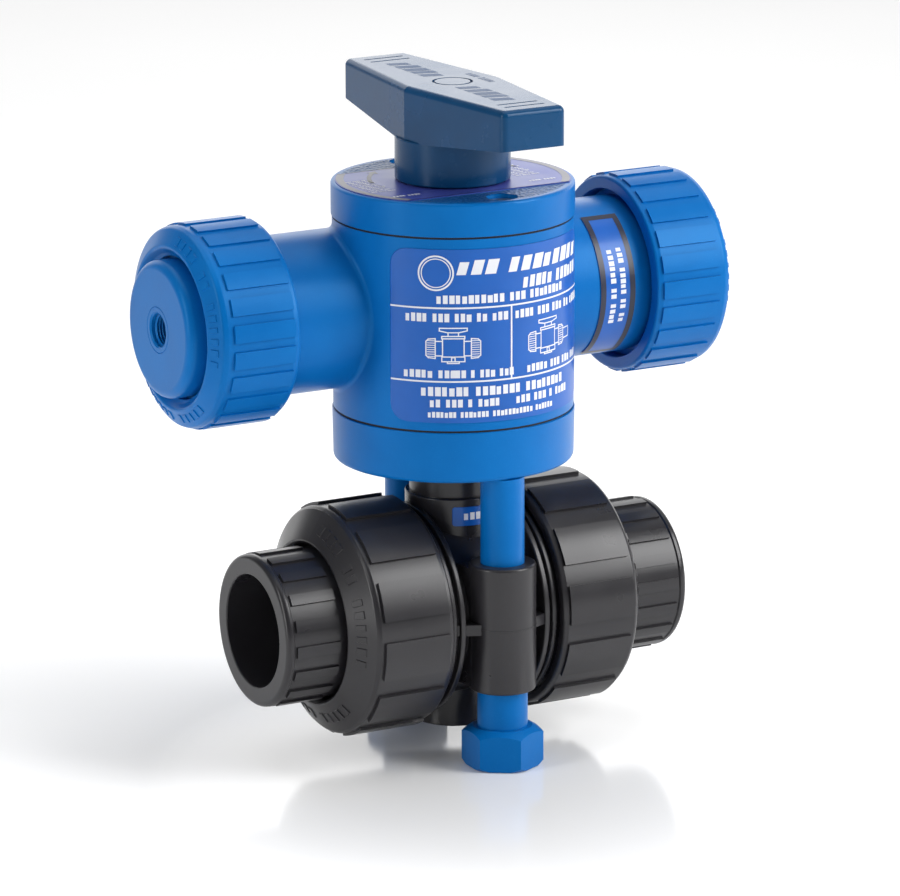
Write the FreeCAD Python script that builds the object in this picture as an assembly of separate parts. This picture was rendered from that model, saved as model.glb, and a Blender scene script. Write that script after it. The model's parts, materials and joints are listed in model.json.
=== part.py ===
import FreeCAD, Part
import math
import os

# Quarter-turn air actuator on a true-union ball valve.
# Millimetres.  The stem axis is Z, the pipe and the air cylinder run along X, and z = 0 is the
# plane that the two hexagon heads stand on.  At rest the valve is closed and the handle lies
# across the pipe, along Y.

V = FreeCAD.Vector
SIDES = {"left": -1, "right": 1}

# --- levels of the actuator housing ---
UNDERSIDE_Z = 87.6
LOWER_SEAM_Z = 102.8
UPPER_SEAM_Z = 160.7
COVER_TOP_Z = 170.6
GASKET_T = 0.6
DRUM_R = 35.5
COVER_R = 35.8

# --- air cylinder: its axis is offset behind the stem by about the pinion's pitch radius ---
AIR_Y = 11.8
AIR_Z = 133.4
TUBE_R = 23.5
BORE_R = 19.0
NUT_BACK_X = 59.7
TUBE_END_X = 79.3
CAP_FLANGE_X = TUBE_END_X + 3.0
CAP_FACE_X = 91.0
CAP_R = 20.2
SPIGOT_X = TUBE_END_X - 8.0
PORT_R = 4.9

# --- pinion and rack ---
TEETH = 18
MODULE = 1.25
PITCH_R = TEETH * MODULE / 2
PRESSURE_ANGLE = math.radians(25)
BACKLASH = 0.30
GEAR_Z = (AIR_Z - 12.0, AIR_Z + 12.0)
STROKE = PITCH_R * math.pi / 2
SHAFT_R = 9.0
RUN_FIT = 0.05

# --- retaining nuts of the air cylinder ---
NUT_R = 29.6
NUT_PAD_R = 30.2
NUT_PADS = 24
NUT_PAD_ANGLE = 9.8
NUT_PHASE = {-1: 6.5, 1: 0.0}

# --- valve ---
PIPE_Z = 42.7
BALL_R = 19.5
FLOW_R = 12.5
THROAT_R = 13.0
SOCKET_R = 16.75
SOCKET_DEPTH = 25.0
CAVITY_R = 20.6
BODY_END_X = 36.0
HUB_END_X = 67.5
UNION_R = 33.9
UNION_PAD_R = 34.8
UNION_PADS = 12
UNION_PAD_ANGLE = 19.5
UNION_PHASE = {-1: -8.2, 1: -5.9}
HUB_RIBS = 18
HUB_PHASE = 6.0

# --- mounting bolts and lugs, one in front of the stem and one behind it ---
BOLT_Y = 29.2
BOLT_SHANK_R = 7.45
BOLT_POST_R = 6.45
HEX_R = 12.1
HEX_H = 11.8
HEX_TURN = math.radians(-3)
LUG_Z = (23.2, 61.5)
LUG_R = 9.9

# --- handle ---
HANDLE_TOP_Z = 199.6
HANDLE_HALF_LENGTH = 47.9
HANDLE_HALF_WIDTH = 16.1
HANDLE_END_HALF_WIDTH = 10.3
HANDLE_MID_T = 16.9
HANDLE_END_T = 11.7
HANDLE_HUB_R = 17.0

LABEL_T = 0.25


# ---------------------------------------------------------------- helpers

def outline(points, flat="xz"):
    """Closed wire through (a, b) points; a third value rounds that corner with a tangent arc."""
    def at(a, b):
        return V(a, 0, b) if flat == "xz" else V(a, b, 0)

    corners = [(at(p[0], p[1]), p[2] if len(p) > 2 else 0) for p in points]
    cuts = []
    for i, (corner, radius) in enumerate(corners):
        before = (corners[i - 1][0] - corner).normalize()
        after = (corners[(i + 1) % len(corners)][0] - corner).normalize()
        if not radius:
            cuts.append((corner, None, corner))
            continue
        half = math.acos(before.dot(after)) / 2
        reach = radius / math.tan(half)
        middle = corner + (before + after).normalize() * (radius / math.sin(half) - radius)
        cuts.append((corner + before * reach, middle, corner + after * reach))
    edges = []
    for i, (start, middle, end) in enumerate(cuts):
        if middle:
            edges.append(Part.Arc(start, middle, end).toShape())
        following = cuts[(i + 1) % len(cuts)][0]
        if (following - end).Length > 1e-6:
            edges.append(Part.LineSegment(end, following).toShape())
    return Part.Wire(edges)


def turned(points):
    """Solid of revolution about Z from a closed outline of (radius, height) points."""
    return Part.Face(outline(points)).revolve(V(0, 0, 0), V(0, 0, 1), 360)


def plate(points, low, height):
    """Prism on a plan outline of (x, y) points."""
    face = Part.Face(outline(points, "xy"))
    face.translate(V(0, 0, low))
    return face.extrude(V(0, 0, height))


def cylinder(radius, low, high, x=0.0, y=0.0):
    return Part.makeCylinder(radius, high - low, V(x, y, low))


def box(low, high):
    size = [b - a for a, b in zip(low, high)]
    return Part.makeBox(*size, V(*low))


def along_x(shape, side, y, z):
    """Turn a shape built along +Z to lie along X, on the given side, with its axis at y, z."""
    shape.rotate(V(0, 0, 0), V(0, 1, 0), 90 * side)
    shape.translate(V(0, y, z))
    return shape


def on_air_axis(shape, side):
    return along_x(shape, side, AIR_Y, AIR_Z)


def on_pipe_axis(shape, side):
    return along_x(shape, side, 0, PIPE_Z)


def ridges(root, crest, start, pitch, count, base, top):
    """Outline points of parallel thread ridges: each is a trapezoid from root to crest."""
    points = []
    flank = (base - top) / 2
    for i in range(count):
        foot = start + i * pitch
        points += [(root, foot), (crest, foot + flank), (crest, foot + flank + top), (root, foot + base)]
    return points


def sector_ring(inner, outer, low, high, start, angle):
    """Part of a ring about Z, from one angle on for so many degrees."""
    block = Part.makeCylinder(outer, high - low, V(0, 0, low), V(0, 0, 1), angle)
    block.rotate(V(0, 0, 0), V(0, 0, 1), start)
    return block.cut(cylinder(inner, low - 1, high + 1))


def with_pads(shape, inner, outer, low, high, count, angle, phase=0.0):
    """Fuse a ring of evenly spaced grip pads onto a shape about Z; phase turns the ring."""
    starts = [i * 360 / count + phase - angle / 2 for i in range(count)]
    pads = [sector_ring(inner, outer, low, high, start, angle) for start in starts]
    return shape.multiFuse(pads)


def o_ring(centre_r, section_r, height):
    return Part.makeTorus(centre_r, section_r, V(0, 0, height), V(0, 0, 1))


def square_bar(width, low, high):
    return box((-width / 2, -width / 2, low), (width / 2, width / 2, high))


# ---------------------------------------------------------------- actuator housing

def actuator_body():
    """Drum and both cylinder tubes in one moulding, bored for the piston and the pinion."""
    low, high = LOWER_SEAM_Z + GASKET_T, UPPER_SEAM_Z - GASKET_T
    body = cylinder(DRUM_R, low, high)
    body = body.fuse(on_air_axis(cylinder(TUBE_R, -NUT_BACK_X, NUT_BACK_X), 1))
    joins = [edge for edge in body.Edges if not isinstance(edge.Curve, (Part.Line, Part.Circle))]
    body = body.makeFillet(1.5, joins)
    thread = [(BORE_R - 1, NUT_BACK_X - 2), (TUBE_R, NUT_BACK_X - 2)]
    thread += ridges(TUBE_R, 25.0, NUT_BACK_X + 3.0, 3.0, 5, 1.7, 0.6)
    thread += [(TUBE_R, TUBE_END_X, 0.4), (BORE_R - 1, TUBE_END_X)]
    for side in SIDES.values():
        body = body.fuse(on_air_axis(turned(thread), side))
    body = body.cut(on_air_axis(cylinder(BORE_R, -100, 100), 1))
    body = body.cut(cylinder(14.0, low - 1, high + 1))
    for y in (-BOLT_Y, BOLT_Y):
        body = body.cut(cylinder(2.5, 147.0, high + 1, y=y))
        body = body.cut(cylinder(5.05, low - 1, 115.5, y=y))
    return body.removeSplitter()


def top_cover():
    cover = turned([
        (SHAFT_R + 0.3, UPPER_SEAM_Z), (COVER_R, UPPER_SEAM_Z, 0.3), (COVER_R, COVER_TOP_Z, 0.9),
        (SHAFT_R + 0.3, COVER_TOP_Z), (SHAFT_R + 0.3, 167.4), (11.75, 167.4), (11.75, 164.6),
        (SHAFT_R + 0.3, 164.6),
    ])
    for y in (-BOLT_Y, BOLT_Y):
        cover = cover.cut(cylinder(2.75, UPPER_SEAM_Z - 1, COVER_TOP_Z + 1, y=y))
        cover = cover.cut(cylinder(4.6, COVER_TOP_Z - 6.2, COVER_TOP_Z + 1, y=y))
    return cover


def bottom_cover():
    cover = turned([
        (SHAFT_R + 0.3, UNDERSIDE_Z), (COVER_R - 0.3, UNDERSIDE_Z, 1.4), (COVER_R, LOWER_SEAM_Z, 0.3),
        (SHAFT_R + 0.3, LOWER_SEAM_Z), (SHAFT_R + 0.3, 98.4), (11.75, 98.4), (11.75, 95.6),
        (SHAFT_R + 0.3, 95.6),
    ])
    for y in (-BOLT_Y, BOLT_Y):
        cover = cover.cut(cylinder(5.05, UNDERSIDE_Z - 1, LOWER_SEAM_Z + 1, y=y))
    return cover


def gasket(low):
    ring = cylinder(DRUM_R - 0.25, low, low + GASKET_T).cut(cylinder(15.0, low - 1, low + 2))
    for y in (-BOLT_Y, BOLT_Y):
        ring = ring.cut(cylinder(5.3, low - 1, low + 2, y=y))
    return ring


def cover_screws():
    """Two socket-head M5 screws in the counterbored holes of the top cover."""
    screws = []
    seat = COVER_TOP_Z - 6.2
    for y in (-BOLT_Y, BOLT_Y):
        screw = turned([(0, 150.0), (2.45, 150.0, 0.4), (2.45, seat), (4.25, seat),
                        (4.25, seat + 5.0, 0.4), (0, seat + 5.0)])
        hexagon = [(2.3 * math.cos(math.radians(a)), 2.3 * math.sin(math.radians(a)))
                   for a in range(30, 390, 60)]
        screw = screw.cut(plate(hexagon, seat + 2.4, 4))
        screw.translate(V(0, y, 0))
        screws.append(screw)
    return Part.makeCompound(screws)


def shaft_bearing(low, high):
    return turned([(SHAFT_R + RUN_FIT, low, 0.4), (13.95, low), (13.95, high), (SHAFT_R + RUN_FIT, high, 0.4)])


def shaft_seal(height):
    return o_ring(SHAFT_R + RUN_FIT + 1.3, 1.3, height)


# ---------------------------------------------------------------- air cylinder ends

def end_cap(side):
    """Cap with a sealed spigot, a flange under the nut and an air port in its boss."""
    cap = turned([
        (5.4, CAP_FACE_X), (PORT_R, CAP_FACE_X - 0.5), (PORT_R, CAP_FACE_X - 12.0), (3.2, CAP_FACE_X - 13.0),
        (3.2, SPIGOT_X), (18.9, SPIGOT_X, 0.6), (18.9, 74.0), (17.0, 74.0), (17.0, 76.3), (18.9, 76.3),
        (18.9, TUBE_END_X), (23.6, TUBE_END_X), (23.6, CAP_FLANGE_X), (CAP_R, CAP_FLANGE_X),
        (CAP_R, CAP_FACE_X, 2.6), (6.9, CAP_FACE_X), (6.75, CAP_FACE_X - 0.2), (6.6, CAP_FACE_X),
    ])
    return on_air_axis(cap, side)


def end_cap_seal(side):
    return on_air_axis(o_ring(18.0, 0.97, 75.15), side)


def retaining_nut(side):
    """Ring nut with grip pads: a dished face round the cap's boss and parallel-ridge threads."""
    lip = CAP_FLANGE_X + 0.05
    nut = turned([
        (25.4, NUT_BACK_X, 0.5), (NUT_R - 0.4, NUT_BACK_X, 0.9), (NUT_R, NUT_BACK_X + 2.0),
        (NUT_R, NUT_BACK_X + 23.3, 1.5), (29.1, NUT_BACK_X + 24.8, 1.0), (23.7, NUT_BACK_X + 27.6, 1.0),
        (21.9, NUT_BACK_X + 25.5, 1.5), (20.9, NUT_BACK_X + 25.0, 0.3), (20.9, lip), (25.4, lip),
        *reversed(ridges(25.4, 24.0, NUT_BACK_X + 4.5, 3.0, 4, 1.7, 0.6)),
    ])
    nut = with_pads(nut, 29.0, NUT_PAD_R, NUT_BACK_X + 1.9, NUT_BACK_X + 21.4, NUT_PADS, NUT_PAD_ANGLE,
                    NUT_PHASE[side])
    return on_air_axis(nut, side)


# ---------------------------------------------------------------- pinion, rack and handle

def gear_plan():
    """Involute outline of the pinion with a tooth gap facing +Y, towards the rack."""
    base_r = PITCH_R * math.cos(PRESSURE_ANGLE)
    tip_r, root_r = PITCH_R + MODULE, PITCH_R - 1.25 * MODULE

    def involute(angle):
        return math.tan(angle) - angle

    half_tooth = (math.pi * MODULE - BACKLASH) / 4 / PITCH_R + involute(PRESSURE_ANGLE)
    radii = [base_r + (tip_r - base_r) * i / 5 for i in range(6)]
    spread = [half_tooth - involute(math.acos(base_r / r)) for r in radii]
    pitch = 2 * math.pi / TEETH
    edges, last = [], None

    def polar(r, angle):
        return V(r * math.cos(angle), r * math.sin(angle), 0)

    def flank(points):
        curve = Part.BSplineCurve()
        curve.interpolate(points)
        return curve.toShape()

    for i in range(TEETH):
        middle = math.pi / 2 + pitch * (i + 0.5)
        rising = [polar(r, middle - s) for r, s in zip(radii, spread)]
        falling = [polar(r, middle + s) for r, s in zip(radii, spread)][::-1]
        root_in, root_out = polar(root_r, middle - spread[0]), polar(root_r, middle + spread[0])
        if last:
            valley = polar(root_r, middle - pitch / 2)
            edges.append(Part.Arc(last, valley, root_in).toShape())
        edges.append(Part.LineSegment(root_in, rising[0]).toShape())
        edges.append(flank(rising))
        edges.append(Part.Arc(rising[-1], polar(tip_r, middle), falling[0]).toShape())
        edges.append(flank(falling))
        edges.append(Part.LineSegment(falling[-1], root_out).toShape())
        last = root_out
    start = polar(root_r, math.pi / 2 + pitch / 2 - spread[0])
    edges.append(Part.Arc(last, polar(root_r, math.pi / 2), start).toShape())
    return Part.Wire(Part.__sortEdges__(edges))


def pinion_shaft():
    """Shaft with the pinion, a square drive up into the handle and a square socket below."""
    gear = Part.Face(gear_plan())
    gear.translate(V(0, 0, GEAR_Z[0]))
    gear = gear.extrude(V(0, 0, GEAR_Z[1] - GEAR_Z[0]))
    shoulder_low, shoulder_high = AIR_Z - 19.2, AIR_Z + 19.2
    shaft = turned([
        (0, 88.0), (SHAFT_R, 88.0, 0.6), (SHAFT_R, shoulder_low), (10.8, shoulder_low, 0.6),
        (10.8, GEAR_Z[0]), (9.6, GEAR_Z[0]), (9.6, GEAR_Z[1]), (10.8, GEAR_Z[1]),
        (10.8, shoulder_high, 0.6), (SHAFT_R, shoulder_high), (SHAFT_R, COVER_TOP_Z + 0.3),
        (0, COVER_TOP_Z + 0.3),
    ])
    shaft = shaft.fuse(gear).fuse(square_bar(12.0, COVER_TOP_Z, 187.0))
    return shaft.cut(square_bar(9.2, 87.0, 97.0))


def rack_piston():
    """Double-headed piston: a half-round beam with rack teeth that face the pinion."""
    centre = STROKE / 2
    half = SPIGOT_X - STROKE / 2 - 0.5
    head = 16.0
    ends = (centre - half, centre + half)
    piston = cylinder(18.7, *ends)
    for low, high in ((ends[0], ends[0] + head), (ends[1] - head, ends[1])):
        for groove_low, groove_high, groove_r in ((low + 3.0, low + 5.3, 16.9), (low + 9.0, low + 13.0, 17.4)):
            ring = cylinder(20, groove_low, groove_high).cut(cylinder(groove_r, groove_low, groove_high))
            piston = piston.cut(ring)
    piston = piston.cut(cylinder(11.0, ends[0] - 1, ends[0] + 9))
    piston = piston.cut(cylinder(11.0, ends[1] - 9, ends[1] + 1))
    piston = on_air_axis(piston, 1)
    root_y, tip_y = PITCH_R + 1.25 * MODULE, PITCH_R - MODULE
    window = box((ends[0] + head, AIR_Y - 20, AIR_Z - 20), (ends[1] - head, root_y, AIR_Z + 20))
    piston = piston.cut(window)
    step = math.pi * MODULE
    at_tip = (step - BACKLASH) / 4 - MODULE * math.tan(PRESSURE_ANGLE)
    at_root = (step - BACKLASH) / 4 + 1.25 * MODULE * math.tan(PRESSURE_ANGLE)
    low_z, high_z = GEAR_Z
    tooth = [(-at_root, root_y + 0.5), (-at_root, root_y), (-at_tip, tip_y), (at_tip, tip_y),
             (at_root, root_y), (at_root, root_y + 0.5)]
    teeth = []
    for i in range(-2, 8):
        solid = plate(tooth, low_z, high_z - low_z)
        solid.translate(V(i * step, 0, 0))
        teeth.append(solid)
    return piston.multiFuse(teeth)


def piston_ring(side, offset, inner, outer, width):
    """A ring in a groove of one piston head, offset mm in from that head's left face."""
    centre, half = STROKE / 2, SPIGOT_X - STROKE / 2 - 0.5
    low = centre - half if side < 0 else centre + half - 16.0
    ring = cylinder(outer, low + offset, low + offset + width)
    ring = ring.cut(cylinder(inner, low, low + 16))
    return on_air_axis(ring, 1)


def piston_seal(side):
    """O-ring in the narrow groove of one piston head."""
    centre, half = STROKE / 2, SPIGOT_X - STROKE / 2 - 0.5
    low = centre - half if side < 0 else centre + half - 16.0
    return on_air_axis(o_ring(17.93, 1.0, low + 4.15), 1)


def wear_ring(side):
    return piston_ring(side, 9.05, 17.45, 18.93, 3.9)


def handle():
    """Tapered position handle with a round hub that drops over the shaft's square."""
    half_l, half_w, half_e = HANDLE_HALF_LENGTH, HANDLE_HALF_WIDTH, HANDLE_END_HALF_WIDTH
    plan = [(-half_e, -half_l), (half_e, -half_l), (half_w, 0), (half_e, half_l), (-half_e, half_l), (-half_w, 0)]
    low = HANDLE_TOP_Z - HANDLE_MID_T
    grip = plate(plan, low, HANDLE_MID_T)
    for sign in (-1, 1):
        rise = HANDLE_MID_T - HANDLE_END_T
        wedge = Part.Face(Part.makePolygon([
            V(-20, 0, low), V(-20, sign * (half_l + 1), low + rise * (half_l + 1) / half_l),
            V(-20, sign * (half_l + 1), low - 1), V(-20, 0, low - 1), V(-20, 0, low)]))
        grip = grip.cut(wedge.extrude(V(40, 0, 0)))
    upright = [e for e in grip.Edges if e.BoundBox.ZLength > 1 and e.BoundBox.XLength + e.BoundBox.YLength < 0.01]
    grip = grip.makeFillet(2.0, [e for e in upright if abs(e.BoundBox.YMin) > 1])
    top = [e for e in grip.Edges if e.BoundBox.ZMin > HANDLE_TOP_Z - 0.1]
    grip = grip.makeFillet(1.9, top)
    hub = turned([(0, COVER_TOP_Z + 0.6), (HANDLE_HUB_R, COVER_TOP_Z + 0.6, 0.5), (HANDLE_HUB_R, low + 1.2, 0.3),
                  (0, low + 1.2)])
    solid = grip.fuse(hub).cut(square_bar(12.2, COVER_TOP_Z, 187.5))
    marks = [turned([(5.2, HANDLE_TOP_Z - 0.5), (6.0, HANDLE_TOP_Z - 0.5), (6.0, HANDLE_TOP_Z + 1),
                     (5.2, HANDLE_TOP_Z + 1)])]
    for sign in (-1, 1):
        for half_width, near, far in ((6.5, 37.5, 38.4), (6.5, 41.6, 42.5)):
            marks.append(box((-half_width, min(sign * near, sign * far), HANDLE_TOP_Z - 0.5),
                             (half_width, max(sign * near, sign * far), HANDLE_TOP_Z + 1)))
    return solid.cut(Part.makeCompound(marks))


# ---------------------------------------------------------------- valve

def valve_body():
    """Barrel with threaded ends, neck, foot and two lugs for the mounting bolts."""
    half = [(27.0, 13.2), (31.4, 13.2, 0.5), (31.4, 15.0, 0.4), (29.6, 15.0), (29.6, 16.0), (31.0, 16.0, 0.4),
            (31.0, 17.7, 0.4), (29.0, 17.7)]
    half += ridges(29.0, 30.4, 19.5, 4.0, 4, 2.2, 0.8)
    half += [(29.0, BODY_END_X, 0.5), (0, BODY_END_X)]
    other = [(corner[0], -corner[1], *corner[2:]) for corner in reversed(half)]
    body = on_pipe_axis(turned(half + other), 1)
    neck = turned([(0, PIPE_Z - 3), (14.5, PIPE_Z - 3), (14.5, 77.3, 0.4), (13.2, 77.3), (13.2, UNDERSIDE_Z),
                   (0, UNDERSIDE_Z)])
    foot = turned([(0, 7.0), (12.4, 7.0, 0.6), (12.4, PIPE_Z - 4), (0, PIPE_Z - 4)])
    web = box((-6.5, -BOLT_Y, 26.0), (6.5, BOLT_Y, 58.5))
    rib_x = 17.6
    parting_rib = plate([(-rib_x, -24), (-rib_x, -29.0), (-9.0, -33.0), (9.0, -33.0), (rib_x, -29.0), (rib_x, -24),
                         (rib_x, 24), (rib_x, 29.0), (9.0, 33.0), (-9.0, 33.0), (-rib_x, 29.0), (-rib_x, 24)],
                        PIPE_Z - 1.6, 3.2)
    lugs = []
    for sign in (-1, 1):
        y = sign * BOLT_Y
        lug = turned([(0, LUG_Z[0]), (LUG_R, LUG_Z[0], 0.8), (LUG_R, LUG_Z[1], 0.8), (0, LUG_Z[1])])
        lug = lug.fuse(cylinder(LUG_R + 0.1, PIPE_Z - 0.2, PIPE_Z + 0.2))
        lug.translate(V(0, y, 0))
        back = sign * 14.0
        wing = plate([(-9.5, y), (9.5, y), (11.8, back), (-11.8, back)], LUG_Z[0] + 1.2, LUG_Z[1] - LUG_Z[0] - 2.4)
        lugs += [lug, wing]
    for piece in [neck, foot, web, parting_rib] + lugs:
        body = body.fuse(piece)
    for y in (-BOLT_Y, BOLT_Y):
        body = body.cut(cylinder(BOLT_SHANK_R + 0.1, 0, 30.2, y=y))
        body = body.cut(cylinder(BOLT_POST_R + 0.1, 30.0, 70, y=y))
    inside = turned([(0, -40), (THROAT_R, -40), (THROAT_R, -21.5), (18.9, -21.5), (18.9, -17.0),
                     (CAVITY_R, -17.0), (CAVITY_R, 40), (0, 40)])
    body = body.cut(on_pipe_axis(inside, 1))
    stem_hole = turned([(0, PIPE_Z + 10), (9.2, PIPE_Z + 10), (9.2, 66.5), (6.5 + RUN_FIT, 66.5),
                        (6.5 + RUN_FIT, 90), (0, 90)])
    return body.cut(stem_hole)


def valve_ball():
    """Ball with its bore across the pipe, and a slot along the pipe for the stem's tongue."""
    ball = Part.makeSphere(BALL_R, V(0, 0, PIPE_Z))
    bore = cylinder(FLOW_R, -30, 30)
    bore.rotate(V(0, 0, 0), V(1, 0, 0), 90)
    bore.translate(V(0, 0, PIPE_Z))
    ball = ball.cut(bore)
    return ball.cut(box((-20, -3.1, PIPE_Z + 13.8), (20, 3.1, PIPE_Z + 25)))


def valve_stem():
    """Blow-out-proof stem: tongue in the ball, collar, two seal grooves, square into the pinion."""
    tongue = box((-8.9, -3.0, 56.6), (8.9, 3.0, 63.0)).common(cylinder(8.9, 50, 70))
    stem = turned([
        (0, 62.4), (8.9, 62.4, 0.4), (8.9, 66.4, 0.4), (6.5, 66.4), (6.5, 71.4), (5.25, 71.4), (5.25, 72.9),
        (6.5, 72.9), (6.5, 76.4), (5.25, 76.4), (5.25, 77.9), (6.5, 77.9), (6.5, 87.5), (0, 87.5),
    ])
    return stem.fuse(tongue).fuse(square_bar(9.0, 87.4, 96.5))


def stem_seals():
    return Part.makeCompound([o_ring(5.9, 0.62, height) for height in (72.15, 77.15)])


def ball_seat(side):
    ring = turned([(THROAT_R, 12.0, 0.4), (18.8, 12.0, 0.8), (18.8, 21.5), (THROAT_R, 21.5)])
    return on_pipe_axis(ring, side).cut(Part.makeSphere(BALL_R + RUN_FIT, V(0, 0, PIPE_Z)))


def seat_carrier():
    """Ring screwed in from the right-hand end; it holds that seat against the ball."""
    ring = turned([
        (18.9, 15.5), (CAVITY_R - 0.1, 15.5, 0.5), (CAVITY_R - 0.1, 28.0), (19.0, 28.0), (19.0, 30.6),
        (CAVITY_R - 0.1, 30.6), (CAVITY_R - 0.1, 34.5), (THROAT_R, 34.5), (THROAT_R, 21.5), (18.9, 21.5),
    ])
    for angle in (0, 90):
        slot = box((-3, -22, 32.0), (3, 22, 36.0))
        slot.rotate(V(0, 0, 0), V(0, 0, 1), angle)
        ring = ring.cut(slot)
    return on_pipe_axis(ring, 1)


def carrier_seal():
    return on_pipe_axis(o_ring(19.8, 0.75, 29.3), 1)


def end_connector(side):
    """Union end: flange with a face-seal groove, ribbed hub and a socket for the pipe."""
    face = BODY_END_X + 0.1
    hub = turned([
        (THROAT_R, face), (23.1, face), (23.1, face + 2.2), (25.9, face + 2.2), (25.9, face), (27.6, face, 0.3),
        (27.6, 41.0), (22.2, 41.0), (22.2, 65.0), (22.6, 65.4), (22.6, HUB_END_X, 1.5), (SOCKET_R, HUB_END_X, 0.4),
        (SOCKET_R, HUB_END_X - SOCKET_DEPTH), (THROAT_R, HUB_END_X - SOCKET_DEPTH),
    ])
    hub = with_pads(hub, 21.5, 22.9, 50.3, 64.4, HUB_RIBS, 8.5, HUB_PHASE)
    return on_pipe_axis(hub, side)


def union_seal(side):
    return on_pipe_axis(o_ring(24.5, 1.15, BODY_END_X + 1.15), side)


def union_nut(side):
    """Union nut with broad grip pads, a conical face and parallel-ridge threads."""
    nut = turned([
        (31.0, 18.3, 0.4), (33.5, 18.3, 0.8), (UNION_R, 20.0), (UNION_R, 43.0, 1.2), (33.1, 43.9, 0.8),
        (24.4, 49.2, 0.6), (23.4, 48.0), (23.4, 41.05), (31.0, 41.05),
        *reversed(ridges(31.0, 29.5, 21.5, 4.0, 3, 2.2, 0.8)),
    ])
    nut = with_pads(nut, 33.0, UNION_PAD_R, 20.3, 41.6, UNION_PADS, UNION_PAD_ANGLE, UNION_PHASE[side])
    return on_pipe_axis(nut, side)


def mounting_bolts():
    """Two stepped hexagon bolts that clamp the valve's lugs under the actuator."""
    bolts = []
    for y in (-BOLT_Y, BOLT_Y):
        turns = [math.pi / 3 * i + math.pi / 2 + HEX_TURN for i in range(6)]
        corners = [(HEX_R * math.cos(turn), HEX_R * math.sin(turn)) for turn in turns]
        head = plate(corners, 0, HEX_H)
        crown = turned([(0, 0), (HEX_R - 1.2, 0), (HEX_R + 0.3, 1.4), (HEX_R + 0.3, HEX_H - 2.2),
                        (HEX_R - 3.3, HEX_H), (0, HEX_H)])
        shank = turned([
            (0, HEX_H - 1), (BOLT_SHANK_R, HEX_H - 1), (BOLT_SHANK_R, 30.1, 0.3), (BOLT_POST_R, 30.1),
            (BOLT_POST_R, UNDERSIDE_Z), (5.0, UNDERSIDE_Z), (5.0, 114.5, 0.8), (0, 114.5),
        ])
        bolt = head.common(crown).fuse(shank)
        bolt.translate(V(0, y, 0))
        bolts.append(bolt)
    return Part.makeCompound(bolts)


# ---------------------------------------------------------------- labels

def wrapped_label(radius, low, high, start, angle, corner):
    """Thin label with rounded corners, wrapped on a cylinder about Z."""
    half_arc = math.radians(angle) / 2 * radius
    half_height = (high - low) / 2
    points = []
    for right, up, first in ((1, 1, 0), (-1, 1, 90), (-1, -1, 180), (1, -1, 270)):
        for turn in (math.radians(first + 22.5 * i) for i in range(5)):
            arc = right * (half_arc - corner) + corner * math.cos(turn)
            height = up * (half_height - corner) + corner * math.sin(turn)
            points.append((radius * math.sin(arc / radius), low + half_height + height))
    mask = Part.Face(outline(points)).extrude(V(0, -2 * radius, 0))
    mask.rotate(V(0, 0, 0), V(0, 0, 1), start + angle / 2 + 90)
    return sector_ring(radius, radius + LABEL_T, low, high, start, angle).common(mask)


def top_label():
    band = cylinder(34.5, COVER_TOP_Z, COVER_TOP_Z + LABEL_T)
    band = band.common(box((-40, -21.3, COVER_TOP_Z - 1), (40, 21.3, COVER_TOP_Z + 1)))
    return band.cut(cylinder(10.5, COVER_TOP_Z - 1, COVER_TOP_Z + 1))


def front_label():
    return wrapped_label(DRUM_R, 105.9, 157.2, -150.0, 116.0, 5.0)


def port_label():
    label = wrapped_label(TUBE_R, 43.6, 55.2, -150.0, 120.0, 1.0)
    return on_air_axis(label, 1)


def neck_label():
    return wrapped_label(14.5, 69.3, 75.0, -121.0, 62.0, 0.8)


# ---------------------------------------------------------------- all nodes

def nodes():
    yield "actuator_body", actuator_body()
    yield "top_cover", top_cover()
    yield "bottom_cover", bottom_cover()
    yield "upper_gasket", gasket(UPPER_SEAM_Z - GASKET_T)
    yield "lower_gasket", gasket(LOWER_SEAM_Z)
    yield "top_cover_screws", cover_screws()
    yield "upper_shaft_bearing", shaft_bearing(AIR_Z + 19.3, UPPER_SEAM_Z - GASKET_T)
    yield "lower_shaft_bearing", shaft_bearing(LOWER_SEAM_Z + GASKET_T, AIR_Z - 19.3)
    yield "upper_shaft_seal", shaft_seal(166.0)
    yield "lower_shaft_seal", shaft_seal(97.0)
    yield "pinion_shaft", pinion_shaft()
    yield "rack_piston", rack_piston()
    yield "position_handle", handle()
    yield "valve_body", valve_body()
    yield "valve_ball", valve_ball()
    yield "valve_stem", valve_stem()
    yield "stem_seals", stem_seals()
    yield "seat_carrier", seat_carrier()
    yield "carrier_seal", carrier_seal()
    yield "mounting_bolts", mounting_bolts()
    yield "top_label", top_label()
    yield "front_label", front_label()
    yield "port_label", port_label()
    yield "neck_label", neck_label()
    for name, side in SIDES.items():
        yield "end_cap_" + name, end_cap(side)
        yield "end_cap_seal_" + name, end_cap_seal(side)
        yield "retaining_nut_" + name, retaining_nut(side)
        yield "piston_seal_" + name, piston_seal(side)
        yield "piston_wear_ring_" + name, wear_ring(side)
        yield "ball_seat_" + name, ball_seat(side)
        yield "end_connector_" + name, end_connector(side)
        yield "union_seal_" + name, union_seal(side)
        yield "union_nut_" + name, union_nut(side)


os.makedirs("parts", exist_ok=True)
for node, shape in nodes():
    shape.exportStep("parts/" + node + ".step")
    solids = len(shape.Solids)
    print(f"{node:24s} solids {solids}  valid {shape.isValid()}  volume {shape.Volume / 1000:8.2f} cm3")
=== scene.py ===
import json
import math

import bpy
from mathutils import Matrix, Vector


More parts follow.
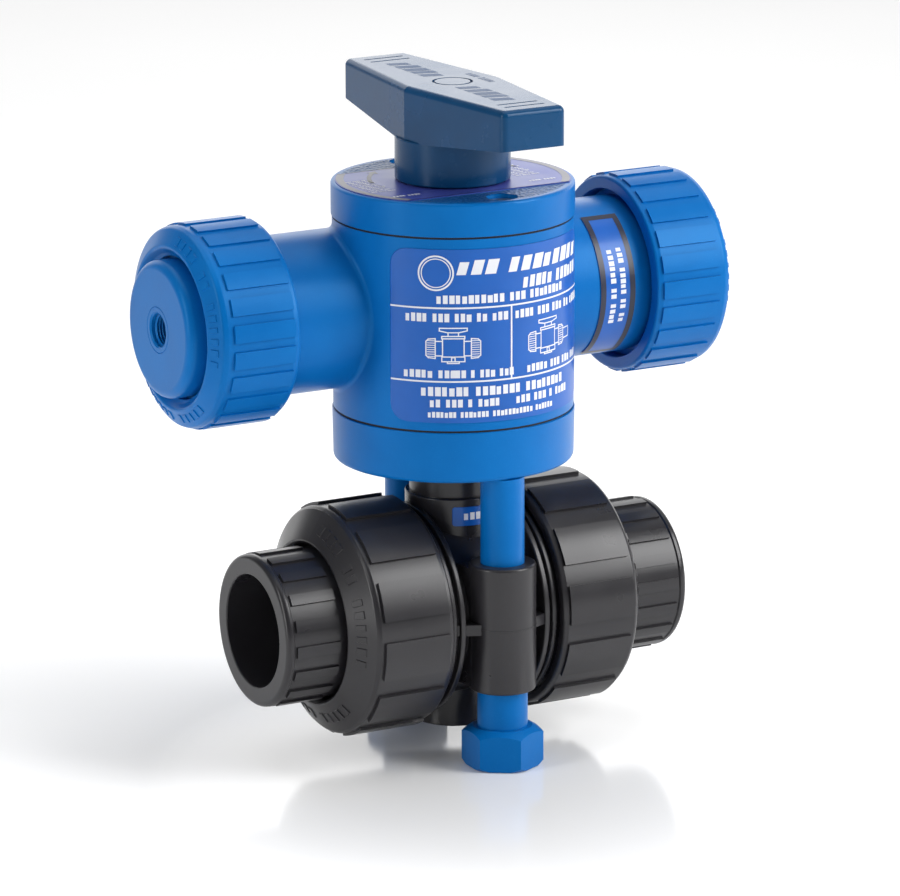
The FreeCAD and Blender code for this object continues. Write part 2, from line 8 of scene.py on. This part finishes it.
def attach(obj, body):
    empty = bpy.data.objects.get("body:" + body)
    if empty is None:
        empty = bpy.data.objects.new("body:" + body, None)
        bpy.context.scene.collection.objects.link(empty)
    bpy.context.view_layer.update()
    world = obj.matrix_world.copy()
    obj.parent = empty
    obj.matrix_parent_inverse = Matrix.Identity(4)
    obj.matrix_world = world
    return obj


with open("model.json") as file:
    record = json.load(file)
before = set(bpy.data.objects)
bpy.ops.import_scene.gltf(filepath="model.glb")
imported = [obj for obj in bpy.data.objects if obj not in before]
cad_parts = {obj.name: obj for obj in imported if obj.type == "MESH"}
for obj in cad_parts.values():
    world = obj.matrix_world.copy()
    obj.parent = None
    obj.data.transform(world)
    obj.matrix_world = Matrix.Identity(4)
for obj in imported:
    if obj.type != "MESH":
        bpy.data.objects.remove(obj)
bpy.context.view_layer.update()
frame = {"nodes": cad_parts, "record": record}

MM = 0.001
scene = bpy.context.scene
NODES = frame["nodes"]

# places and sizes in millimetres
DRUM_R, COVER_TOP_Z, LABEL_T = 35.5, 170.6, 0.25
NECK_R, HANDLE_TOP_Z = 14.5, 199.6
TOP_LABEL_HALF_WIDTH, COVER_GRAIN_R = 21.8, 33.6
PORT_LABEL_MIDDLE_X, PORT_LABEL_HALF_WIDTH, PORT_LABEL_HALF_ANGLE = 49.4, 5.0, math.radians(60)
AIR_Y, AIR_Z, TUBE_R = 11.8, 133.4, 23.5
AIR_CONE = ((29.1, 84.5), (23.7, 87.3))
PIPE_Z, UNION_CONE = 42.7, ((33.1, 43.9), (24.4, 49.2))
PRINT_LIFT, MARK_LIFT, FLOOR_DROP = 0.05, 0.02, 0.2
WHITE = (1.0, 1.0, 1.0)
CLOUD_SCALE, GRAIN_SCALE, GRAIN_DEPTH = 38.0, 2600.0, 0.00012
BLUE = ((0.001, 0.122, 0.410), (0.002, 0.142, 0.460), (0.02, 0.22, 0.62))
BLUE_SHEEN, HANDLE_SHEEN, LABEL_SHEEN = (0.22, 0.62, 1.0), (0.72, 0.86, 1.0), (0.55, 0.75, 1.0)


# ---------------------------------------------------------------- materials

def new_material(name):
    mat = bpy.data.materials.new(name)
    mat.use_nodes = True
    return mat, mat.node_tree, mat.node_tree.nodes["Principled BSDF"]


def noise(tree, coords, scale, detail):
    node = tree.nodes.new("ShaderNodeTexNoise")
    node.inputs["Scale"].default_value = scale
    node.inputs["Detail"].default_value = detail
    node.inputs["Roughness"].default_value = 0.55
    tree.links.new(coords, node.inputs["Vector"])
    return node.outputs["Fac"]


def ramp(tree, fac, stops):
    node = tree.nodes.new("ShaderNodeValToRGB")
    els = node.color_ramp.elements
    while len(els) < len(stops):
        els.new(0.5)
    for el, (at, colour) in zip(els, stops):
        el.position = at
        el.color = (*colour, 1.0)
    tree.links.new(fac, node.inputs["Fac"])
    return node.outputs["Color"]


def span(tree, fac, low, high, from_low=0.3, from_high=0.7, way="LINEAR"):
    node = tree.nodes.new("ShaderNodeMapRange")
    node.interpolation_type = way
    node.inputs["From Min"].default_value = from_low
    node.inputs["From Max"].default_value = from_high
    node.inputs["To Min"].default_value = low
    node.inputs["To Max"].default_value = high
    tree.links.new(fac, node.inputs["Value"])
    return node.outputs["Result"]


def maths(tree, operation, first, second=None):
    node = tree.nodes.new("ShaderNodeMath")
    node.operation = operation
    for socket, value in zip(node.inputs, (first, second)):
        if value is None:
            continue
        if isinstance(value, (int, float)):
            socket.default_value = value
        else:
            tree.links.new(value, socket)
    return node.outputs[0]


def mix(tree, fac, first, second):
    node = tree.nodes.new("ShaderNodeMix")
    node.data_type = "RGBA"
    tree.links.new(fac, node.inputs[0])
    for socket, value in ((node.inputs[6], first), (node.inputs[7], second)):
        if isinstance(value, tuple):
            socket.default_value = (*value, 1.0)
        else:
            tree.links.new(value, socket)
    return node.outputs[2]


def bump(tree, shader, height, strength, distance, before=None):
    node = tree.nodes.new("ShaderNodeBump")
    node.inputs["Strength"].default_value = strength
    node.inputs["Distance"].default_value = distance
    tree.links.new(height, node.inputs["Height"])
    if before is not None:
        tree.links.new(before, node.inputs["Normal"])
    tree.links.new(node.outputs["Normal"], shader.inputs["Normal"])
    return node.outputs["Normal"]


def object_coords(tree):
    return tree.nodes.new("ShaderNodeTexCoord").outputs["Object"]


def moulded(name, colours, rough, grain=0.12, coat=0.0, coat_rough=0.15, specular=0.5, subsurface=0.0,
            tint=WHITE):
    """Moulded plastic: slow colour clouds, fine surface grain and uneven gloss."""
    mat, tree, shader = new_material(name)
    at = object_coords(tree)
    cloud = noise(tree, at, CLOUD_SCALE, 5.0)
    speck = noise(tree, at, GRAIN_SCALE, 2.0)
    base = ramp(tree, cloud, ((0.35, colours[0]), (0.65, colours[1])))
    fleck = span(tree, speck, 0.0, 0.35, 0.62, 0.8)
    tree.links.new(mix(tree, fleck, base, colours[2]), shader.inputs["Base Color"])
    tree.links.new(span(tree, cloud, rough[0], rough[1]), shader.inputs["Roughness"])
    shader.inputs["Specular IOR Level"].default_value = specular
    shader.inputs["Specular Tint"].default_value = (*tint, 1.0)
    shader.inputs["Coat Weight"].default_value = coat
    shader.inputs["Coat Roughness"].default_value = coat_rough
    if subsurface:
        shader.inputs["Subsurface Weight"].default_value = subsurface
        shader.inputs["Subsurface Scale"].default_value = 0.0015
    bump(tree, shader, speck, grain, GRAIN_DEPTH)
    return mat


def metal(name, colours, rough, along=(0.04, 0.04, 1.0)):
    """Turned or rolled metal with fine parallel tool marks."""
    mat, tree, shader = new_material(name)
    at = object_coords(tree)
    stretch = tree.nodes.new("ShaderNodeMapping")
    stretch.inputs["Scale"].default_value = along
    tree.links.new(at, stretch.inputs["Vector"])
    marks = noise(tree, stretch.outputs["Vector"], 900.0, 3.0)
    base = ramp(tree, marks, ((0.3, colours[0]), (0.7, colours[1])))
    tree.links.new(base, shader.inputs["Base Color"])
    tree.links.new(span(tree, marks, rough[0], rough[1]), shader.inputs["Roughness"])
    shader.inputs["Metallic"].default_value = 1.0
    bump(tree, shader, marks, 0.15, 0.00005)
    return mat


housing_blue = moulded("housing_blue_plastic", BLUE, (0.30, 0.38), grain=0.10, specular=0.35, tint=BLUE_SHEEN)
handle_blue = moulded("handle_blue_plastic",
                      ((0.002, 0.046, 0.130), (0.003, 0.057, 0.158), (0.02, 0.09, 0.24)),
                      (0.22, 0.30), grain=0.03, coat=0.12, coat_rough=0.10, specular=0.2, tint=HANDLE_SHEEN)
valve_black = moulded("valve_black_plastic",
                      ((0.016, 0.015, 0.018), (0.022, 0.021, 0.024), (0.05, 0.05, 0.055)),
                      (0.26, 0.34), grain=0.06, specular=0.45)
rubber = moulded("seal_rubber_black", ((0.008, 0.008, 0.009), (0.014, 0.014, 0.015), (0.03, 0.03, 0.03)),
                 (0.55, 0.7), grain=0.3, specular=0.35)
acetal = moulded("bearing_acetal", ((0.72, 0.72, 0.68), (0.78, 0.78, 0.75), (0.85, 0.85, 0.83)), (0.4, 0.5),
                 subsurface=0.1)
fluoro = moulded("seat_fluoropolymer", ((0.80, 0.80, 0.77), (0.85, 0.85, 0.83), (0.9, 0.9, 0.9)),
                 (0.35, 0.45), subsurface=0.1)
screw_steel = metal("zinc_plated_steel", ((0.46, 0.47, 0.50), (0.60, 0.60, 0.62)), (0.25, 0.38))
shaft_steel = metal("turned_shaft_steel", ((0.50, 0.51, 0.53), (0.62, 0.62, 0.64)), (0.22, 0.34))
piston_alloy = metal("anodised_piston_alloy", ((0.62, 0.63, 0.66), (0.74, 0.75, 0.77)), (0.3, 0.42),
                     along=(1.0, 0.05, 0.05))
print_white = moulded("white_print_ink", ((0.70, 0.72, 0.78), (0.76, 0.78, 0.82), (0.82, 0.84, 0.88)),
                      (0.35, 0.45), grain=0.05)
print_grey = moulded("grey_print_ink", ((0.20, 0.20, 0.23), (0.25, 0.25, 0.28), (0.32, 0.32, 0.34)),
                     (0.35, 0.45), grain=0.05)
handle_mark = moulded("handle_sunk_marks", ((0.003, 0.045, 0.14), (0.004, 0.055, 0.17), (0.01, 0.07, 0.20)),
                      (0.4, 0.5), grain=0.1, specular=0.3)
print_dark = moulded("dark_print_ink", ((0.006, 0.010, 0.03), (0.010, 0.014, 0.04), (0.02, 0.03, 0.07)),
                     (0.3, 0.4), grain=0.05)


def film(name, colours, rough, waves, coat):
    """Printed vinyl film with the slight waves of a hand-laid label."""
    mat, tree, shader = new_material(name)
    at = object_coords(tree)
    cloud = noise(tree, at, 60.0, 3.0)
    wave = noise(tree, at, 45.0, 1.0)
    dots = noise(tree, at, 3500.0, 1.0)
    base = ramp(tree, cloud, ((0.35, colours[0]), (0.65, colours[1])))
    spotted = mix(tree, span(tree, dots, 0.0, 0.25, 0.6, 0.8), base, colours[1])
    tree.links.new(spotted, shader.inputs["Base Color"])
    tree.links.new(span(tree, cloud, rough[0], rough[1]), shader.inputs["Roughness"])
    shader.inputs["Specular Tint"].default_value = (*LABEL_SHEEN, 1.0)
    shader.inputs["Coat Weight"].default_value = coat
    shader.inputs["Coat Roughness"].default_value = 0.12
    bump(tree, shader, wave, waves, 0.0012)
    return mat


label_film = film("label_blue_film", ((0.003, 0.086, 0.40), (0.004, 0.100, 0.45)), (0.3, 0.4),
                  waves=0.25, coat=0.15)
top_film = film("label_violet_film", ((0.045, 0.060, 0.32), (0.060, 0.080, 0.38)), (0.30, 0.38),
                waves=0.08, coat=0.0)


def pebbled_cover():
    """The cover's blue plastic, with a leather-like grain on the two top areas outside the label."""
    mat, tree, shader = new_material("cover_blue_plastic")
    at = object_coords(tree)
    cloud, speck = noise(tree, at, CLOUD_SCALE, 5.0), noise(tree, at, GRAIN_SCALE, 2.0)
    cells = tree.nodes.new("ShaderNodeTexVoronoi")
    cells.inputs["Scale"].default_value = 900.0
    tree.links.new(at, cells.inputs["Vector"])
    parts = tree.nodes.new("ShaderNodeSeparateXYZ")
    tree.links.new(at, parts.inputs["Vector"])
    x, y, z = parts.outputs
    on_top = maths(tree, "GREATER_THAN", z, (COVER_TOP_Z - 0.1) * MM)
    outside = maths(tree, "GREATER_THAN", maths(tree, "ABSOLUTE", y), TOP_LABEL_HALF_WIDTH * MM)
    r2 = maths(tree, "ADD", maths(tree, "POWER", x, 2.0), maths(tree, "POWER", y, 2.0))
    inside = maths(tree, "LESS_THAN", r2, (COVER_GRAIN_R * MM) ** 2)
    area = maths(tree, "MULTIPLY", maths(tree, "MULTIPLY", on_top, outside), inside)
    base = ramp(tree, cloud, ((0.35, BLUE[0]), (0.65, BLUE[1])))
    tree.links.new(mix(tree, maths(tree, "MULTIPLY", area, 0.7), base, (0.010, 0.06, 0.20)),
                   shader.inputs["Base Color"])
    tree.links.new(span(tree, cloud, 0.30, 0.38), shader.inputs["Roughness"])
    shader.inputs["Specular IOR Level"].default_value = 0.35
    shader.inputs["Specular Tint"].default_value = (*BLUE_SHEEN, 1.0)
    fine = bump(tree, shader, speck, 0.10, GRAIN_DEPTH)
    bump(tree, shader, maths(tree, "MULTIPLY", area, cells.outputs["Distance"]), 0.9, 0.0006, fine)
    return mat


cover_blue = pebbled_cover()

BY_SLOT = {"housing_blue": housing_blue, "handle_blue": handle_blue, "valve_black": valve_black,
           "seal_rubber": rubber, "screw_steel": screw_steel, "shaft_steel": shaft_steel,
           "piston_alloy": piston_alloy, "bearing_plastic": acetal, "seat_white": fluoro,
           "label_film": label_film}
slot_of = {part["node"]: part["material_slot"] for part in frame["record"]["subparts"]}
for name, obj in NODES.items():
    mat = BY_SLOT[slot_of[name]]
    if name == "top_cover":
        mat = cover_blue
    if name == "top_label":
        mat = top_film
    obj.data.materials.clear()
    obj.data.materials.append(mat)


# ---------------------------------------------------------------- thin printed graphics

def add_piece(name, verts, faces, material, body):
    """A new mesh that rides on one body."""
    mesh = bpy.data.meshes.new(name)
    mesh.from_pydata(verts, [], faces)
    mesh.materials.append(material)
    obj = bpy.data.objects.new(name, mesh)
    scene.collection.objects.link(obj)
    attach(obj, body)


def drum_at(s, t):
    r = DRUM_R + LABEL_T + PRINT_LIFT
    turn = math.radians(-92) + s / DRUM_R
    return Vector((r * math.cos(turn), r * math.sin(turn), t)) * MM


def top_at(s, t):
    return Vector((s, t, COVER_TOP_Z + LABEL_T + PRINT_LIFT)) * MM


def tube_at(s, t):
    r = TUBE_R + LABEL_T + PRINT_LIFT
    turn = t / TUBE_R
    return Vector((s, AIR_Y - r * math.cos(turn), AIR_Z + r * math.sin(turn))) * MM


def neck_at(s, t):
    r, turn = NECK_R + LABEL_T + PRINT_LIFT, math.radians(-90) + s / NECK_R
    return Vector((r * math.cos(turn), r * math.sin(turn), t)) * MM


def handle_at(s, t):
    return Vector((t, -s, HANDLE_TOP_Z + MARK_LIFT)) * MM


class Print:
    """Collects flat shapes in label millimetres and lays them on a surface as one thin mesh."""

    def __init__(self, place, pen=0.3, cell=1.2):
        self.place, self.pen, self.cell = place, pen, cell
        self.verts, self.faces = [], []

    def strip(self, left, right):
        """Quads between two rows of points."""
        start, n = len(self.verts), len(left)
        self.verts += [self.place(*p) for p in left] + [self.place(*p) for p in right]
        for i in range(n - 1):
            self.faces.append((start + i, start + n + i, start + n + i + 1, start + i + 1))

    def line(self, *points, pen=None):
        """Straight strokes from point to point, with square ends."""
        half = (pen or self.pen) / 2
        for (s0, t0), (s1, t1) in zip(points, points[1:]):
            length = math.hypot(s1 - s0, t1 - t0)
            ds, dt = (s1 - s0) / length, (t1 - t0) / length
            n = max(2, int(length / self.cell) + 2)
            steps = [(s0 - ds * half + ds * (length + 2 * half) * i / (n - 1),
                      t0 - dt * half + dt * (length + 2 * half) * i / (n - 1)) for i in range(n)]
            self.strip([(s - dt * half, t + ds * half) for s, t in steps],
                       [(s + dt * half, t - ds * half) for s, t in steps])

    def arc(self, cs, ct, radius, start, end, pen=None):
        """A stroke along a circle, from start to end in degrees."""
        half = (pen or self.pen) / 2
        n = max(6, int(abs(end - start) / 6))
        turns = [math.radians(start + (end - start) * i / n) for i in range(n + 1)]
        inner, outer = radius - half, radius + half
        self.strip([(cs + inner * math.cos(a), ct + inner * math.sin(a)) for a in turns],
                   [(cs + outer * math.cos(a), ct + outer * math.sin(a)) for a in turns])

    def block(self, s, t, wide, tall, slant):
        """One solid block with level ends, leaning by slant."""
        columns = max(1, math.ceil(wide / self.cell))
        lean = slant * tall
        edges = [s + wide * i / columns for i in range(columns + 1)]
        for low, high in zip(edges, edges[1:]):
            self.strip([(low, t), (low + lean, t + tall)], [(high, t), (high + lean, t + tall)])

    def words(self, s, t, height, lengths, width, slant=0.0, shape=0):
        """A line of plain blocks, grouped like words."""
        step = height * width
        for n, count in enumerate(lengths):
            for i in range(count):
                wide = step * (0.66 + 0.08 * ((i * 7 + n * 3 + shape) % 3))
                tall = height * (1.0 if (i * 5 + n + shape) % 4 else 0.88)
                self.block(s, t, wide, tall, slant)
                s += step
            s += step * 0.75

    def piece(self, name, material, body="housing"):
        """Everything drawn so far, as one piece."""
        add_piece(name, self.verts, self.faces, material, body)


def figure(ink, s, t, with_port=False):
    """Small outline drawing of the unit: handle, drum, two arms and two ribbed nuts."""
    def stroke(*points, pen=None):
        ink.line(*((s + ds, t + dt) for ds, dt in points), pen=pen)

    def box(s0, t0, s1, t1):
        stroke((s0, t0), (s1, t0), (s1, t1), (s0, t1), (s0, t0))

    stroke((-4.0, 6.3), (4.0, 6.3), (4.0, 5.5), (1.6, 5.0), (-1.6, 5.0), (-4.0, 5.5), (-4.0, 6.3))
    box(-1.5, 3.9, 1.5, 5.0)
    box(-3.3, 3.2, 3.3, 3.9)
    box(-3.1, -2.2, 3.1, 3.2)
    box(-3.3, -3.6, 3.3, -2.2)
    box(-0.5, -3.6, 0.5, -2.4)
    stroke((-1.7, -3.6), (-1.7, -4.1), (1.7, -4.1), (1.7, -3.6))
    for side in (-1, 1):
        for level in (-1.9, 2.4):
            stroke((side * 3.3, level), (side * 5.2, level))
        stroke((side * 5.2, -2.7), (side * 7.2, -2.5), (side * 7.9, -1.8), (side * 7.9, 2.3),
               (side * 7.2, 3.0), (side * 5.2, 3.2), (side * 5.2, -2.7))
        for i in range(8):
            level = -2.1 + i * 0.66
            stroke((side * 5.5, level), (side * 7.5, level), pen=0.22)
    if with_port:
        for level in (-1.2, 1.7):
            stroke((7.9, level), (11.5, level))
        stroke((11.5, -1.2), (11.5, 1.7))


def front_graphics():
    """The drum label: a title, two panels with a figure in each, and small rows of blocks below."""
    ink = Print(drum_at, pen=0.34)
    edge, high, low = 35.4, 140.0, 118.2
    ink.line((-edge, high), (edge, high), pen=0.5)
    ink.line((-edge, low), (edge, low), pen=0.5)
    ink.line((0.6, high), (0.6, low), pen=0.5)
    ink.arc(-21.8, 150.3, 5.0, 0, 360, pen=0.5)
    ink.arc(-21.8, 150.3, 4.2, 0, 360, pen=0.3)
    ink.words(-15.9, 149.8, 4.3, (3, 8), slant=0.28, width=0.96)
    ink.words(4.4, 144.6, 3.5, (5, 6), slant=0.12, width=0.68)
    ink.words(-21.6, 141.3, 2.5, (11, 3, 8), width=0.74)
    ink.words(-30.8, 135.9, 2.5, (4, 3, 3, 2, 3), width=0.68)
    ink.words(1.9, 135.9, 2.5, (4, 3, 3, 2, 5), width=0.68)
    figure(ink, -16.8, 127.8)
    figure(ink, 14.4, 127.8, with_port=True)
    ink.words(-31.4, 119.3, 2.3, (5, 3), width=0.78)
    ink.words(-17.6, 119.3, 2.3, (3, 1, 3, 3), width=0.68)
    ink.words(6.0, 119.3, 2.3, (5, 3, 3, 3), width=0.72)
    ink.words(-26.2, 113.9, 2.7, (7, 7, 8), width=0.76)
    ink.words(-23.6, 110.6, 2.3, (2, 3, 1, 4), width=0.74)
    ink.words(2.2, 110.6, 2.3, (3, 3, 1, 4), width=0.74)
    ink.words(-24.2, 107.5, 1.7, (7, 7, 11, 6), width=0.72)
    ink.piece("front_label_print", print_white)


def top_graphics():
    """The cover label: rows of blocks at the two sides, a grey border and two curved arrows."""
    ink = Print(top_at, pen=0.35, cell=2.0)
    for side in (-1, 1):
        for i in range(9):
            ink.words(side * 24.0 - 6.5, 9.0 - i * 2.0, 0.9, (3, 4, 2 + i % 3), width=0.7, shape=i)
        ink.words(side * 22.6 - 5.4, -15.6, 1.3, (4, 4), width=0.8)
    ink.piece("top_label_print", print_white)
    grey = Print(top_at, cell=2.0)
    for middle in (0, 180):
        grey.arc(0, 0, 33.1, middle - 39, middle + 39, pen=2.2)
    grey.piece("top_label_border", print_grey)
    dark = Print(top_at, cell=2.0)
    radius, half_arc, half_head, head = 24.5, 16, 1.9, 3.2
    for side in (-1, 1):
        dark.line((-27.0, side * 21.0), (27.0, side * 21.0), pen=0.35)
        centre = 90 + side * 62
        dark.arc(0, 0, radius, centre - half_arc, centre + half_arc, pen=1.3)
        tip = math.radians(centre - side * half_arc)
        s, t = radius * math.cos(tip), radius * math.sin(tip)
        across_s, across_t = half_head * math.cos(tip), half_head * math.sin(tip)
        end_s, end_t = s + head * math.sin(tip) * side, t - head * math.cos(tip) * side
        # the tip is left 0.01 mm wide, so that no edge has zero length
        dark.strip([(s - across_s, t - across_t), (end_s, end_t)],
                   [(s + across_s, t + across_t), (end_s + 0.01, end_t)])
    dark.piece("top_label_arrows", print_dark)


def tube_graphics():
    """The port label, on the right-hand tube: a dark border and two rows of blocks."""
    half = PORT_LABEL_HALF_ANGLE * TUBE_R - 0.4
    near, far = PORT_LABEL_MIDDLE_X - PORT_LABEL_HALF_WIDTH, PORT_LABEL_MIDDLE_X + PORT_LABEL_HALF_WIDTH
    edge = Print(tube_at, cell=1.0)
    edge.line((near, -half), (far, -half), (far, half), (near, half), (near, -half), pen=1.8)
    edge.piece("port_label_border", print_dark)

    def upright(s, t):
        return tube_at(PORT_LABEL_MIDDLE_X + t, -s)

    ink = Print(upright, cell=1.0)
    ink.words(-13.0, 0.9, 1.8, (3, 5, 2, 2), width=0.90)
    ink.words(-12.6, -2.4, 1.8, (6, 2, 4), width=0.95)
    ink.piece("port_label_print", print_white)


def neck_graphics():
    ink = Print(neck_at, cell=0.8)
    ink.words(-4.4, 71.1, 2.2, (3, 2), width=0.85)
    ink.piece("neck_label_print", print_white)


def handle_graphics():
    """Rows of flat dark blocks along the handle's top, each side of the ring."""
    ink = Print(handle_at, cell=3.0)
    ink.words(-33.5, -4.0, 7.0, (5,), slant=0.25, width=0.70)
    ink.words(8.5, -4.0, 7.0, (5,), slant=0.25, width=0.70)
    ink.words(-8.0, 8.6, 2.2, (3, 4), width=0.9)
    ink.piece("handle_top_marks", handle_mark, body="rotor")


front_graphics()
top_graphics()
handle_graphics()
tube_graphics()
neck_graphics()


# ---------------------------------------------------------------- threads in the two air ports

def outward(faces, side):
    """Faces wound for the right-hand side, turned over for the left."""
    return faces if side > 0 else [face[::-1] for face in faces]


def port_thread(word, side):
    """A helical ridge standing in from the port's plain wall, fading in and out over half a turn."""
    root, crest, pitch = 4.87, 4.35, 0.94
    start, turns, steps = 90.4, 10.5, 24
    count, fade_steps = int(turns * steps), steps // 2
    verts = []
    for i in range(count + 1):
        turn = 2 * math.pi * i / steps
        fade = min(1.0, i / fade_steps, (count - i) / fade_steps)
        top = root - (root - crest) * fade
        x = start - pitch * i / steps
        for r, back in ((root, 0.0), (top, pitch * 0.45), (top, pitch * 0.55), (root, pitch * 0.98)):
            y, z = AIR_Y + r * math.cos(turn), AIR_Z + r * math.sin(turn)
            verts.append(Vector((side * (x - back), y, z)) * MM)
    faces = [(4 * i + k, 4 * i + k + 1, 4 * i + k + 5, 4 * i + k + 4) for i in range(count) for k in range(3)]
    add_piece(f"port_thread_{word}", verts, outward(faces, side), housing_blue, "housing")


for word, side in (("left", -1), ("right", 1)):
    port_thread(word, side)


# ---------------------------------------------------------------- raised marks on the nuts' faces

# each row: start in degrees, places, degrees from place to place, places left empty
MARK_ROWS = ((98.0, 14, 7.2, (4, 7)), (232.0, 14, 7.2, (5,)))


def raised_marks(nut, side, axis, cone, size, material):
    """Rows of small raised blocks along arcs on a nut's conical face."""
    sunk, top_size = 0.15, 0.82
    axis_y, axis_z = axis
    (r_out, x_out), (r_in, x_in) = cone
    slope = math.atan2(x_in - x_out, r_out - r_in)
    mid_r = (r_out + r_in) / 2
    mid_x = (x_out + x_in) / 2
    normal_x, normal_r = math.cos(slope), math.sin(slope)
    verts, faces = [], []
    tall, wide, lift = size
    for start, count, step, skip in MARK_ROWS:
        for i in range(count):
            if i in skip:
                continue
            turn = math.radians(start + i * step)
            grow = 1.0 - 0.12 * (i * 5 % 3)
            for level, shrink in ((-sunk, 1.0), (lift, top_size)):
                for along, across in ((-1, -1), (1, -1), (1, 1), (-1, 1)):
                    r = mid_r + along * tall / 2 * shrink * math.cos(slope) + level * normal_r
                    x = mid_x - along * tall / 2 * shrink * math.sin(slope) + level * normal_x
                    t = turn + across * wide * grow / 2 * shrink / mid_r
                    verts.append(Vector((side * x, axis_y + r * math.cos(t), axis_z + r * math.sin(t))) * MM)
            base = len(verts) - 8
            faces.append(tuple(base + k for k in (4, 5, 6, 7)))
            faces += [tuple(base + k for k in (j, (j + 1) % 4, (j + 1) % 4 + 4, j + 4)) for j in range(4)]
    add_piece(f"{nut}_marks", verts, outward(faces, side), material, f"{nut}_body")


for word, side in (("left", -1), ("right", 1)):
    raised_marks(f"retaining_nut_{word}", side, (AIR_Y, AIR_Z), AIR_CONE, (3.0, 2.1, 0.30),
                 housing_blue)
    raised_marks(f"union_nut_{word}", side, (0.0, PIPE_Z), UNION_CONE, (3.8, 2.4, 0.30),
                 valve_black)


# ---------------------------------------------------------------- floor, lights, camera

def pale_floor():
    """A pale sheet whose gloss is strongest where the part stands, and whose glow, painted light on the
    floor, is weakest there and strongest far away.
    """
    mat, tree, shader = new_material("pale_floor")
    at = object_coords(tree)
    cloud = noise(tree, at, 3.0, 2.0)
    tree.links.new(ramp(tree, cloud, ((0.3, (0.90, 0.90, 0.90)), (0.7, (0.93, 0.93, 0.93)))),
                   shader.inputs["Base Color"])
    apart = tree.nodes.new("ShaderNodeVectorMath")
    apart.operation = "DISTANCE"
    tree.links.new(at, apart.inputs[0])
    apart.inputs[1].default_value = (0.0, -0.035, 0.0)
    distance = apart.outputs["Value"]
    gloss = span(tree, distance, 1.0, 0.0, 0.02, 0.11, "SMOOTHSTEP")
    # painted light: the floor's emission glows faintly near the part and brighter farther off
    painted_glow = span(tree, distance, 0.03, 0.27, 0.03, 0.20, "SMOOTHSTEP")
    tree.links.new(gloss, shader.inputs["Specular IOR Level"])
    shader.inputs["Roughness"].default_value = 0.13
    shader.inputs["Emission Color"].default_value = (*WHITE, 1.0)
    tree.links.new(painted_glow, shader.inputs["Emission Strength"])
    reach, level = 9.0, -FLOOR_DROP * MM
    corners = [(-reach, -reach, level), (reach, -reach, level), (reach, reach, level), (-reach, reach, level)]
    mesh = bpy.data.meshes.new("studio_floor")
    mesh.from_pydata(corners, [], [(0, 1, 2, 3)])
    mesh.materials.append(mat)
    floor = bpy.data.objects.new("studio_floor", mesh)
    scene.collection.objects.link(floor)


def softbox(name, place, aim, size, power):
    light = bpy.data.lights.new(name, "AREA")
    light.shape = "RECTANGLE"
    light.size, light.size_y = size
    light.energy = power
    lamp = bpy.data.objects.new(name, light)
    scene.collection.objects.link(lamp)
    lamp.location = place
    lamp.rotation_euler = (Vector(aim) - Vector(place)).to_track_quat("-Z", "Y").to_euler()


pale_floor()
world = bpy.data.worlds.new("studio_world")
world.use_nodes = True
background = world.node_tree.nodes["Background"]
background.inputs["Color"].default_value = (*WHITE, 1.0)
background.inputs["Strength"].default_value = 0.18
scene.world = world
scene.view_settings.view_transform = "Standard"

middle = (0.0, 0.0, 0.11)
softbox("key_right", (0.66, -0.62, 0.62), middle, (0.55, 0.70), 10.5)
softbox("fill_left", (-1.10, -0.15, 0.45), middle, (0.20, 0.9), 4.6)
softbox("overhead", (0.1, 0.2, 1.6), middle, (1.6, 1.6), 11.0)
softbox("rim_back", (0.60, 1.06, 0.56), (0.0, 0.0, 0.19), (0.55, 0.26), 0.40)
softbox("backdrop", (1.7, 3.0, 1.0), (0.0, 0.0, 0.1), (6.0, 2.6), 72.0)

eye, target = Vector((-0.8277, -1.4831, 0.5271)), Vector((-0.0009, 0.0005, 0.0893))
lens, sensor, roll = 237.2, 36.0, math.radians(-0.168)
camera_data = bpy.data.cameras.new("camera")
camera_data.lens = lens
camera_data.sensor_width = sensor
camera = bpy.data.objects.new("camera", camera_data)
scene.collection.objects.link(camera)
camera.location = eye
look = (target - eye).to_track_quat("-Z", "Y")
camera.rotation_euler = (look.to_matrix() @ Matrix.Rotation(roll, 3, "Z")).to_euler()
scene.camera = camera
